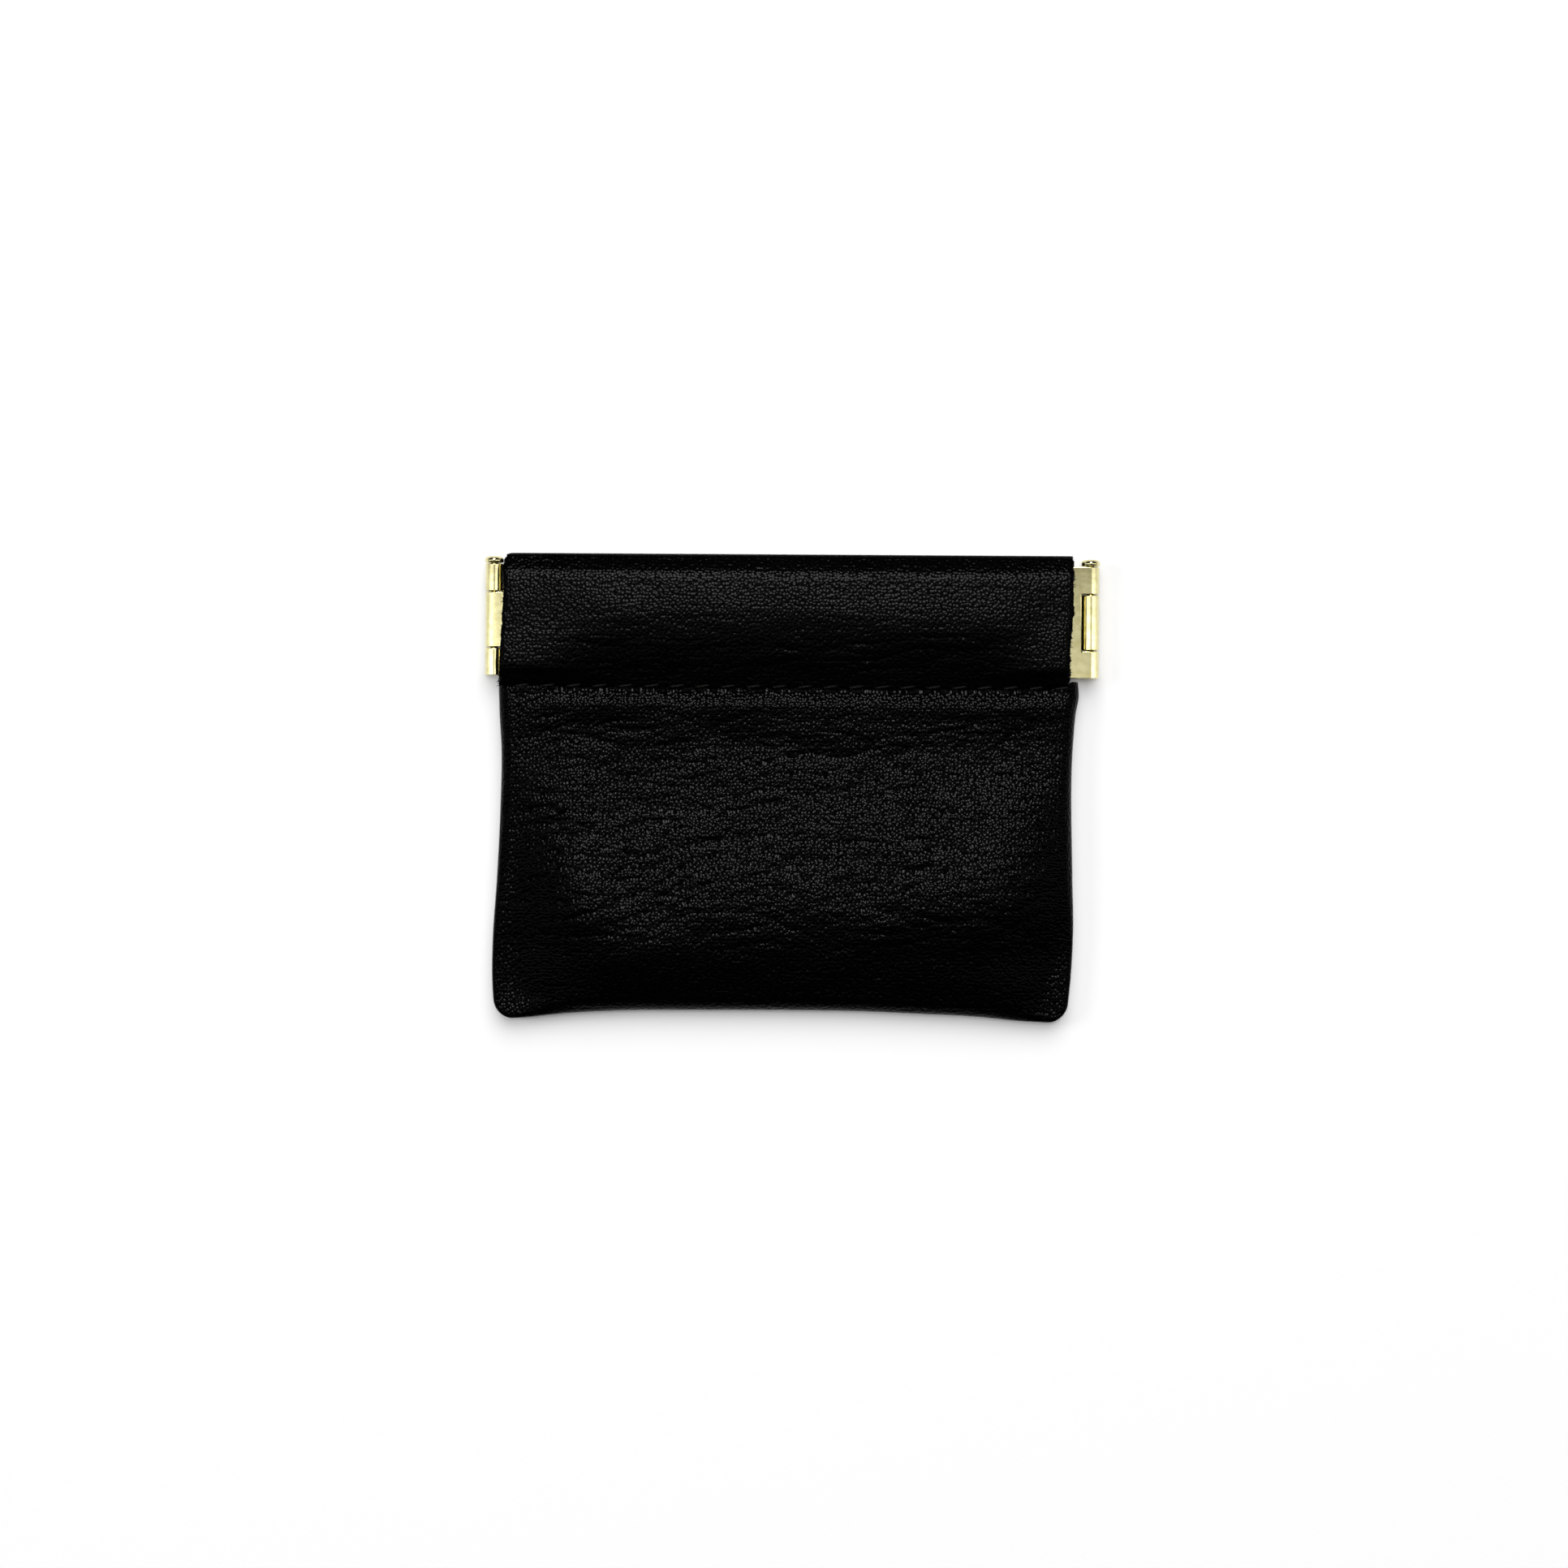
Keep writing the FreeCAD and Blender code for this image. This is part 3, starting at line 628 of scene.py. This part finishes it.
def makeCasing(name, face, side):
    share = 1 if face > 0 else casing["backShare"]
    end = casing["leftEnd" if side < 0 else "rightEnd"]
    reach = casing["leftReach" if side < 0 else "rightReach"]
    # from the middle to the end, with one spare station past the middle for the normals
    stations = np.concatenate([[-0.007], 1 - spread(casing["stations"], casing["endPacking"], 1)[::-1]])
    count = len(stations) - 1
    rows = casing["faceRows"]
    y, base = sectionLoop(outline["seam"], casing["foldFrom"], casing["middle"][-1][1], casing["foldTop"],
                          casing["foldLift"], casing["flapFrom"], casing["flapLift"])
    endX = curveThrough(end, y)
    x = endX[:, None] * stations[None, :]
    deepY = np.repeat(y[:, None], len(stations), axis=1)
    endGap = np.abs(endX[:, None] - x)
    taut = easeStep(reach, casing["tautWithin"], endGap)
    middle, ends = (curveThrough(casing[key], deepY) for key in ("middle", "ends"))
    lift = np.repeat(base[:, None], len(stations), axis=1)
    onFace = np.arange(len(y)) < rows
    lift[onFace] = (middle + (ends - middle) * taut)[onFace]
    if side < 0:  # the left end leans a little towards the mouth
        lean = casing["leftTilt"] * (np.minimum(deepY, casing["flapFrom"]) - casing["tiltFrom"])
        lift = lift - lean * taut * easeStep(*casing["tiltY"], deepY) * easeStep(*casing["tiltLift"], lift)
    outside = (np.arange(len(y)) < rows + casing["foldRows"])[:, None]
    calm = easeStep(outline["seam"], outline["seam"] + casing["calm"], deepY)
    calm = calm * easeStep(0, casing["calm"], endGap) * outside
    hillX, hillY = casing["hillSize"]
    hills = casing["slowHills"] * softNoise(x / hillX, deepY / hillY, casing["hillSeed"])
    lift = lift + calm * hills * easeStep(*casing["hillY"], deepY)
    if face > 0:
        lift = lift - calm * sum(creaseDepth(x, deepY, kind) for kind in casingCreases)
    # the cut end is rounded off and ragged
    lift = lift - outside * casing["endDrop"] * np.exp(-endGap / casing["endDropReach"])
    x = x + raggedEnd(y, face, side)[:, None] * np.exp(-endGap / casing["raggedReach"])
    outer = np.stack([x, deepY, midZ + face * share * lift], axis=2)
    normals = gridNormals(outer, roundRows=True)[:, 1:]
    normals = normals * np.sign(normals[rows // 2, count // 2, 2] * face)
    outer = outer[:, 1:]
    tunnelY, tunnelLift = sectionLoop(casing["tunnelLow"], casing["tunnelTurn"], casing["tunnelRoof"],
                                      casing["tunnelTop"], casing["tunnelFold"], casing["tunnelTurn"],
                                      casing["tunnelFlap"])
    tunnelY, tunnelLift = (np.repeat(line[:, None], count, axis=1) for line in (tunnelY, tunnelLift))
    tunnel = np.stack([outer[:, :, 0], tunnelY, midZ + face * tunnelLift], axis=2)
    loop = len(y)
    size = loop * count
    index = np.arange(size).reshape(loop, count)
    faces = [gridFaces(loop, count, 0, True), gridFaces(loop, count, size, True),
             wallFaces(index[:, 0], size), wallFaces(index[:, -1], size)]
    kinds = np.concatenate([np.full(len(group), min(kind, 2)) for kind, group in enumerate(faces)])
    points = np.concatenate([outer.reshape(-1, 3), tunnel.reshape(-1, 3)])
    hairs, hairFaces = endFibres(outer[:, -1], tunnel[:, -1], side, 151 + face + 2 * side)
    faces.append(hairFaces + len(points))
    points = np.concatenate([points, hairs])
    kinds = np.concatenate([kinds, np.full(len(hairFaces), 1)])
    return makePiece(name, points, np.concatenate(faces), [tautLeather, flesh, flesh], kinds,
                     normals.reshape(-1, 3), flat=(2,))


fibres = {"count": 90, "crowding": 1.6, "depth": (0.1, 0.7), "out": (0.5, 1), "sideways": (-0.7, 0.7),
          "upwards": (-0.5, 0.3), "curl": 0.4, "length": (0.2, 0.6), "width": (0.04, 0.09), "taper": 0.85,
          "sunk": 0.1, "lowest": 0.05, "rings": 4, "around": 3}


def endFibres(outerRim, tunnelRim, side, seed):  # short tapered fibres standing off the cut end
    chance = np.random.default_rng(seed)
    rings, around = fibres["rings"], fibres["around"]
    points, faces = [], []
    for strand in range(fibres["count"]):
        place = int(len(outerRim) * chance.uniform(0, 1) ** fibres["crowding"])  # most along the face
        start = outerRim[place] + (tunnelRim[place] - outerRim[place]) * chance.uniform(*fibres["depth"])
        lean = np.array([side * chance.uniform(*fibres["out"]), chance.uniform(*fibres["sideways"]),
                         chance.uniform(*fibres["upwards"])])
        curl = chance.uniform(-fibres["curl"], fibres["curl"], 3)
        length = chance.uniform(*fibres["length"])
        width = chance.uniform(*fibres["width"])
        start = start - fibres["sunk"] * side * np.array([1, 0, 0])
        first = len(points)
        for ring in range(rings):
            along = ring / (rings - 1)
            middle = start + length * (along * lean + along ** 2 * curl)
            for turn in np.linspace(0, 2 * math.pi, around, endpoint=False):
                spoke = np.array([0, math.cos(turn), math.sin(turn)])
                points.append(middle + width * (1 - fibres["taper"] * along) * spoke)
        faces += tubeFaces(first, rings, around)
    points = np.array(points)
    points[:, 2] = np.maximum(points[:, 2], fibres["lowest"])
    return points, np.array(faces)


casings = {}
for face, facing in ((1, "front"), (-1, "back")):
    for side, hand in ((-1, "left"), (1, "right")):
        casings[facing + hand] = makeCasing(facing + "Casing." + hand, face, side)
print("casings:", len(casings), "lengths")


# Thread

def threadRun(name, xs, y, lift, face):
    # one short arched strand for each stitch, its ends going down into the leather
    rings, around = stitch["rings"], stitch["around"]
    angle = np.linspace(0, 2 * math.pi, around, endpoint=False)
    points, faces = [], []
    for x in xs:
        first = len(points)
        for ring in range(rings):
            t = 2 * ring / (rings - 1) - 1
            sunk = stitch["arch"] * abs(t) ** 3
            thick = stitch["radius"] * (1 - stitch["endTaper"] * abs(t) ** 4)
            for turn in angle:
                points.append([x + t * stitch["length"] / 2,
                               y + thick * math.cos(turn) + stitch["slant"] * t,
                               midZ + face * (lift - sunk + thick * math.sin(turn))])
        faces += tubeFaces(first, rings, around)
        for ring in (0, rings - 1):
            corners = [first + around * ring + corner for corner in range(around)]
            for i in range(1, around - 2, 2):
                faces.append([corners[0], corners[i], corners[i + 1], corners[i + 2]])
    return makePiece(name, points, faces, [thread])


stitchXs = stitch["pitch"] * (np.arange(-stitch["eachSide"], stitch["eachSide"]) + 0.5)
seams = {}
for face, facing in ((1, "front"), (-1, "back")):
    for side, hand in ((-1, "left"), (1, "right")):
        xs = [x for x in stitchXs if x * side > 0]
        seams[facing + hand] = threadRun(facing + "Stitches." + hand, xs, stitch["seamY"],
                                         stitch["lift"], face)
insideY = (seamThreadLow[1] + seamThreadHigh[1]) / 2
for side, hand in ((-1, "left"), (1, "right")):
    xs = [x for x in stitchXs if x * side > 0 and abs(x) < stitch["insideReach"]]
    seams["inside" + hand] = threadRun("seamStitches." + hand, xs, insideY, stitch["insideLift"], -1)
print("thread:", len(seams), "runs")


# Sprung strips: sheet metal with rolled knuckles

strip = {
    "plateEdge": 39.95, "rollStart": 40.6, "middleKnuckle": 7.6, "knuckleGap": 0.15,
    "rollTurn": 290, "rollSteps": 22, "plateSteps": 26, "notchRounding": 0.32, "edgeRounding": 0.09,
}


def sheetLine(fromX, toEnd):  # points and outward normals (x, lift) along the middle of the bent sheet
    xs = np.linspace(fromX, strip["plateEdge"], strip["plateSteps"])
    line = [((x, plateLift), (0, 1)) for x in xs]
    if toEnd:
        line.append(((strip["rollStart"], plateLift), (0, 1)))
        for turn in np.radians(np.linspace(0, strip["rollTurn"], strip["rollSteps"])):
            out = (math.sin(turn), math.cos(turn))
            line.append(((pinX + plateLift * out[0], plateLift * out[1]), out))
    return line


def makeStrip(name, side, face, outerKnuckles, fromX=0, toEnd=True, untilX=None):
    half = strip["middleKnuckle"] / 2 + (strip["knuckleGap"] if outerKnuckles else 0)
    rows = [stripLow[1], pinMidY - half, pinMidY + half, stripHigh[1]]
    knuckleRows = (0, 2) if outerKnuckles else (1,)
    line = sheetLine(fromX, toEnd)
    if untilX:
        line = [spot for spot in line if spot[0][0] < untilX] + [((untilX, plateLift), (0, 1))]
    plateSpots = [spot for spot in line if spot[0][0] <= strip["plateEdge"] and spot[1] == (0, 1)]
    plateCells = len(plateSpots) - 1
    metal = bmesh.new()
    verts = {}

    def vert(i, j, top):
        if (i, j, top) not in verts:
            (x, lift), (outX, outLift) = line[i]
            push = plateThickness / 2 * (1 if top else -1)
            place = (side * (x + push * outX), rows[j], midZ + face * (lift + push * outLift))
            verts[i, j, top] = metal.verts.new([q * mm for q in place])
        return verts[i, j, top]

    cells = {(i, j) for i in range(len(line) - 1) for j in range(3)
             if i < plateCells or j in knuckleRows}
    borders = {(0, -1): (0, 1), (1, 0): (1, 2), (0, 1): (2, 3), (-1, 0): (3, 0)}  # corners of each border
    for i, j in cells:
        corners = [(i, j), (i + 1, j), (i + 1, j + 1), (i, j + 1)]
        for top in (True, False):
            metal.faces.new([vert(a, b, top) for a, b in corners])
        for (di, dj), (a, b) in borders.items():
            if (i + di, j + dj) not in cells:
                low, high = corners[a], corners[b]
                metal.faces.new([vert(*low, True), vert(*high, True),
                                 vert(*high, False), vert(*low, False)])
    bmesh.ops.recalc_face_normals(metal, faces=metal.faces)
    if toEnd:  # rounded corners where the knuckles leave the plate
        notches = [metal.edges.get((verts[plateCells, j, True], verts[plateCells, j, False]))
                   for j in (1, 2)]
        bmesh.ops.bevel(metal, geom=notches, offset=strip["notchRounding"] * mm, segments=4, profile=0.5,
                        affect="EDGES", clamp_overlap=True)
    mesh = bpy.data.meshes.new(name)
    metal.to_mesh(mesh)
    metal.free()
    return finishMetal(name, mesh, strip["edgeRounding"])


def finishMetal(name, mesh, rounding):  # rounds the edges and keeps the flats flat
    rough = bpy.data.objects.new(name + ".rough", mesh)
    scene.collection.objects.link(rough)
    edge = rough.modifiers.new("edge", "BEVEL")
    edge.width = rounding * mm
    edge.segments = 3
    edge.limit_method = "ANGLE"
    edge.angle_limit = math.radians(40)
    mesh.polygons.foreach_set("use_smooth", [True] * len(mesh.polygons))
    rough.modifiers.new("flats", "WEIGHTED_NORMAL").keep_sharp = True
    done = bpy.data.meshes.new_from_object(rough.evaluated_get(bpy.context.evaluated_depsgraph_get()))
    bpy.data.objects.remove(rough)
    done.materials.clear()
    done.materials.append(giltSteel)
    piece = bpy.data.objects.new(name, done)
    scene.collection.objects.link(piece)
    return piece


armFrom = 18  # the front strip's right arm starts inside the casing, past the bend
strips = {
    "frontLeft": makeStrip("frontStrip.left", -1, 1, False),
    "frontMiddle": makeStrip("frontStrip.middle", 1, 1, True, toEnd=False, untilX=armFrom),
    "frontRight": makeStrip("frontStrip.right", 1, 1, True, fromX=armFrom),
    "backLeft": makeStrip("backStrip.left", -1, -1, True),
    "backRight": makeStrip("backStrip.right", 1, -1, False),
}
print("strips:", len(strips), "lengths")


# Hinge pins

pin = {"shank": 0.55, "neck": 0.62, "head": (pinHigh[0] - pinLow[0]) / 2, "headHeight": 0.9, "around": 48,
       "brim": [(0, 0.16), (0.05, 0.05), (0.16, 0)],  # up from the underside, in from the rim
       "crown": [(0.42, 0), (0.22, 0.08), (0.08, 0.28), (0, 0.62)]}  # down from the top, in from the rim


def makePin(name, side):
    low, top = pinLow[1], pinHigh[1]
    under = top - pin["headHeight"]
    profile = [(low, 0), (low, pin["shank"] * 0.7), (low + 0.15, pin["shank"]),
               (under - 0.1, pin["shank"]), (under, pin["neck"])]
    profile += [(under + up, pin["head"] - inwards) for up, inwards in pin["brim"]]
    profile += [(top - down, pin["head"] - inwards) for down, inwards in pin["crown"]]
    profile.append((top, 0))
    points = []
    for y, radius in profile:
        for turn in np.linspace(0, 2 * math.pi, pin["around"], endpoint=False):
            points.append([side * pinX + radius * math.cos(turn), y, midZ + radius * math.sin(turn)])
    faces = tubeFaces(0, len(profile), pin["around"])
    piece = makePiece(name, points, faces, [giltSteel])
    tidy = bmesh.new()
    tidy.from_mesh(piece.data)
    bmesh.ops.remove_doubles(tidy, verts=tidy.verts, dist=1e-7)
    bmesh.ops.dissolve_degenerate(tidy, edges=tidy.edges, dist=1e-7)
    tidy.to_mesh(piece.data)
    tidy.free()
    piece.data.set_sharp_from_angle(angle=math.radians(50))
    return piece


pins = {"left": makePin("hingePin.left", -1), "right": makePin("hingePin.right", 1)}
print("pins:", len(pins))


# The CAD parts that each piece replaces, and the bodies that the right front strip and the pins ride on

fold = 5.0  # a distance on each side of a bend; acrossBend works out its span, but nothing uses it


def acrossBend(piece, a, b, side, *nodes):
    near, far = sorted((side * (bendX - fold), side * (bendX + fold)))
    near * mm
    far * mm
    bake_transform(piece)
    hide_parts(*nodes)


acrossBend(casings["frontleft"], "front_left", "front_middle", -1,
           "front_casing_left", "front_casing_middle")
acrossBend(casings["frontright"], "front_middle", "front_right_casing", 1, "front_casing_right")
acrossBend(casings["backleft"], "back_left", "back_middle", -1,
           "back_casing_left", "back_casing_middle")
acrossBend(casings["backright"], "back_middle", "back_right", 1, "back_casing_right")
acrossBend(seams["frontleft"], "front_left", "front_middle", -1,
           "front_stitches_left", "front_stitches_middle")
acrossBend(seams["frontright"], "front_middle", "front_right_casing", 1, "front_stitches_right")
acrossBend(seams["backleft"], "back_left", "back_middle", -1,
           "back_stitches_left", "back_stitches_middle")
acrossBend(seams["backright"], "back_middle", "back_right", 1, "back_stitches_right")
acrossBend(seams["insideleft"], "back_left", "back_middle", -1,
           "seam_stitches_left", "seam_stitches_middle")
acrossBend(seams["insideright"], "back_middle", "back_right", 1, "seam_stitches_right")
acrossBend(backHalves["left"], "back_left", "back_middle", -1,
           "back_panel_left", "back_panel_middle")
acrossBend(backHalves["right"], "back_middle", "back_right", 1, "back_panel_right")
acrossBend(strips["frontLeft"], "front_left", "front_middle", -1,
           "front_strip_left", "front_strip_middle")
acrossBend(strips["frontMiddle"], "front_middle", "front_right_casing", 1)
acrossBend(strips["backLeft"], "back_left", "back_middle", -1,
           "back_strip_left", "back_strip_middle")
acrossBend(strips["backRight"], "back_middle", "back_right", 1, "back_strip_right")

# the pouch front, mouth at its seam and sewn to the back at its bottom, replaces its CAD panels column by
# column; the bodies listed with each column are not used
for hand, low, high in (("left", "back_left", "front_left"),
                        ("middle", "back_middle", "front_middle_panel"),
                        ("right", "back_right", "front_right")):
    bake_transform(frontColumns[hand])
    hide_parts("front_panel_" + hand)
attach(strips["frontRight"], "front_right")
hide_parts("front_strip_right")
for hand, piece in pins.items():
    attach(piece, "back_" + hand)
    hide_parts("hinge_pin_" + hand)


# Floor, light and camera

room = {"floorHalf": 4.0, "floorColour": (0.92, 0.92, 0.925, 1), "floorGlow": 0.03, "lampAway": 3.0,
        "lamps": [{"name": "mouthLamp", "lean": 5, "tilt": 36, "radius": 1.6, "power": 84},
                  {"name": "overheadLamp", "lean": 0, "tilt": 3, "radius": 0.5, "power": 34},
                  {"name": "leftLamp", "lean": -50, "tilt": 8, "radius": 0.5, "power": 16}],
        "keyTilt": 26, "keyLevel": 38.0, "keyInner": 2, "keyOuter": 11.5,
        "archLevel": 3.4, "archInner": 0.03, "archOuter": 0.08,
        "horizonLevel": 0.35, "horizonTop": 0.5, "horizonFull": 0.2,
        "archShares": [(0, 0.24), (0.08, 0.7), (0.15, 1), (0.38, 1), (0.46, 0.5), (0.52, 0.31),
                       (0.56, 0.26), (0.6, 0.3), (0.68, 1), (0.9, 0.9), (1, 0.3)],
        "dimLevel": 0.006, "skyColour": (1, 0.995, 0.97, 1)}


def makeFloor():
    half = room["floorHalf"]
    mesh = bpy.data.meshes.new("floor")
    corners = [(-half, -half, 0), (half, -half, 0), (half, half, 0), (-half, half, 0)]
    mesh.from_pydata(corners, [], [(0, 1, 2, 3)])
    floor = bpy.data.objects.new("floor", mesh)
    scene.collection.objects.link(floor)
    finish, place = newFinish("paleFloor")
    camera, glossy, through = (place.node("ShaderNodeLightPath", out="Is " + kind + " Ray")
                               for kind in ("Camera", "Glossy", "Transmission"))
    paper = place.node("ShaderNodeBsdfDiffuse", None, {"Color": room["floorColour"]})
    glow = place.node("ShaderNodeEmission", None, {"Strength": room["floorGlow"]})
    lit = place.node("ShaderNodeAddShader", None, {0: paper, 1: glow})
    shown = place.node("ShaderNodeMixShader", None, {0: camera + glossy + through, 1: paper, 2: lit})
    place.node("ShaderNodeOutputMaterial", None, {"Surface": shown})
    mesh.materials.append(finish)


def easedLevel(value, start, full, level):  # 0 at start, rising smoothly to level
    values = {"Value": value, "From Min": start, "From Max": full, "To Min": 0.0, "To Max": level}
    return value.node("ShaderNodeMapRange", {"interpolation_type": "SMOOTHSTEP"}, values)


def makeSky():  # what the gloss shows: a window towards the mouth and a thin arch from side to side
    world = bpy.data.worlds.new("softSky")
    world.use_nodes = True
    world.node_tree.nodes.clear()
    start = Wire(world.node_tree)
    towards = start.node("ShaderNodeTexCoord", out="Generated")
    across, along, height = (towards.node("ShaderNodeSeparateXYZ", None, {0: towards}, axis)
                             for axis in "XYZ")
    tilt = math.radians(room["keyTilt"])
    key = (0, math.sin(tilt), math.cos(tilt))
    facingKey = towards.vector("DOT_PRODUCT", {1: key}, "Value")
    outer, inner = (math.cos(math.radians(room["key" + edge])) for edge in ("Outer", "Inner"))
    window = easedLevel(facingKey, outer, inner, room["keyLevel"])
    offArch = along.node("ShaderNodeMath", {"operation": "ABSOLUTE"}, {0: along})
    arch = easedLevel(offArch, room["archOuter"], room["archInner"], room["archLevel"])
    share = (0.5 + 0.5 * across).ramp(*room["archShares"])
    horizon = easedLevel(height, room["horizonTop"], room["horizonFull"], room["horizonLevel"])
    level = window + arch * share + horizon + room["dimLevel"]
    sky = towards.node("ShaderNodeBackground", None, {"Color": room["skyColour"], "Strength": level})
    towards.node("ShaderNodeOutputWorld", None, {"Surface": sky})
    world.cycles_visibility.diffuse = False  # the lamps light the floor
    scene.world = world


def makeLamp(values):  # a lamp for the floor and its shadow; the sky alone makes the highlights
    data = bpy.data.lights.new(values["name"], "AREA")
    data.shape = "DISK"
    data.size = 2 * values["radius"]
    data.energy = values["power"]
    lamp = bpy.data.objects.new(values["name"], data)
    scene.collection.objects.link(lamp)
    turn = Euler((-math.radians(values["tilt"]), math.radians(values["lean"]), 0), "XYZ")
    lamp.rotation_euler = turn
    lamp.location = turn.to_matrix() @ Vector((0, 0, room["lampAway"]))
    lamp.visible_glossy = False


photoView = {"lens": 85, "sensor": 36, "frameWidth": 217.2, "middle": (-1.0, 0.86), "roll": 0.35}


def makeCamera():
    data = bpy.data.cameras.new("camera")
    data.lens, data.sensor_width = photoView["lens"], photoView["sensor"]
    data.clip_start, data.clip_end = 0.01, 20
    camera = bpy.data.objects.new("camera", data)
    scene.collection.objects.link(camera)
    distance = photoView["frameWidth"] * photoView["lens"] / photoView["sensor"]
    x, y = photoView["middle"]
    camera.location = (x * mm, y * mm, (midZ + distance) * mm)
    camera.rotation_euler = (0, 0, math.radians(photoView["roll"]))
    scene.camera = camera


makeFloor()
makeSky()
for values in room["lamps"]:
    makeLamp(values)
makeCamera()
print("stage: floor, sky, lamps and camera")
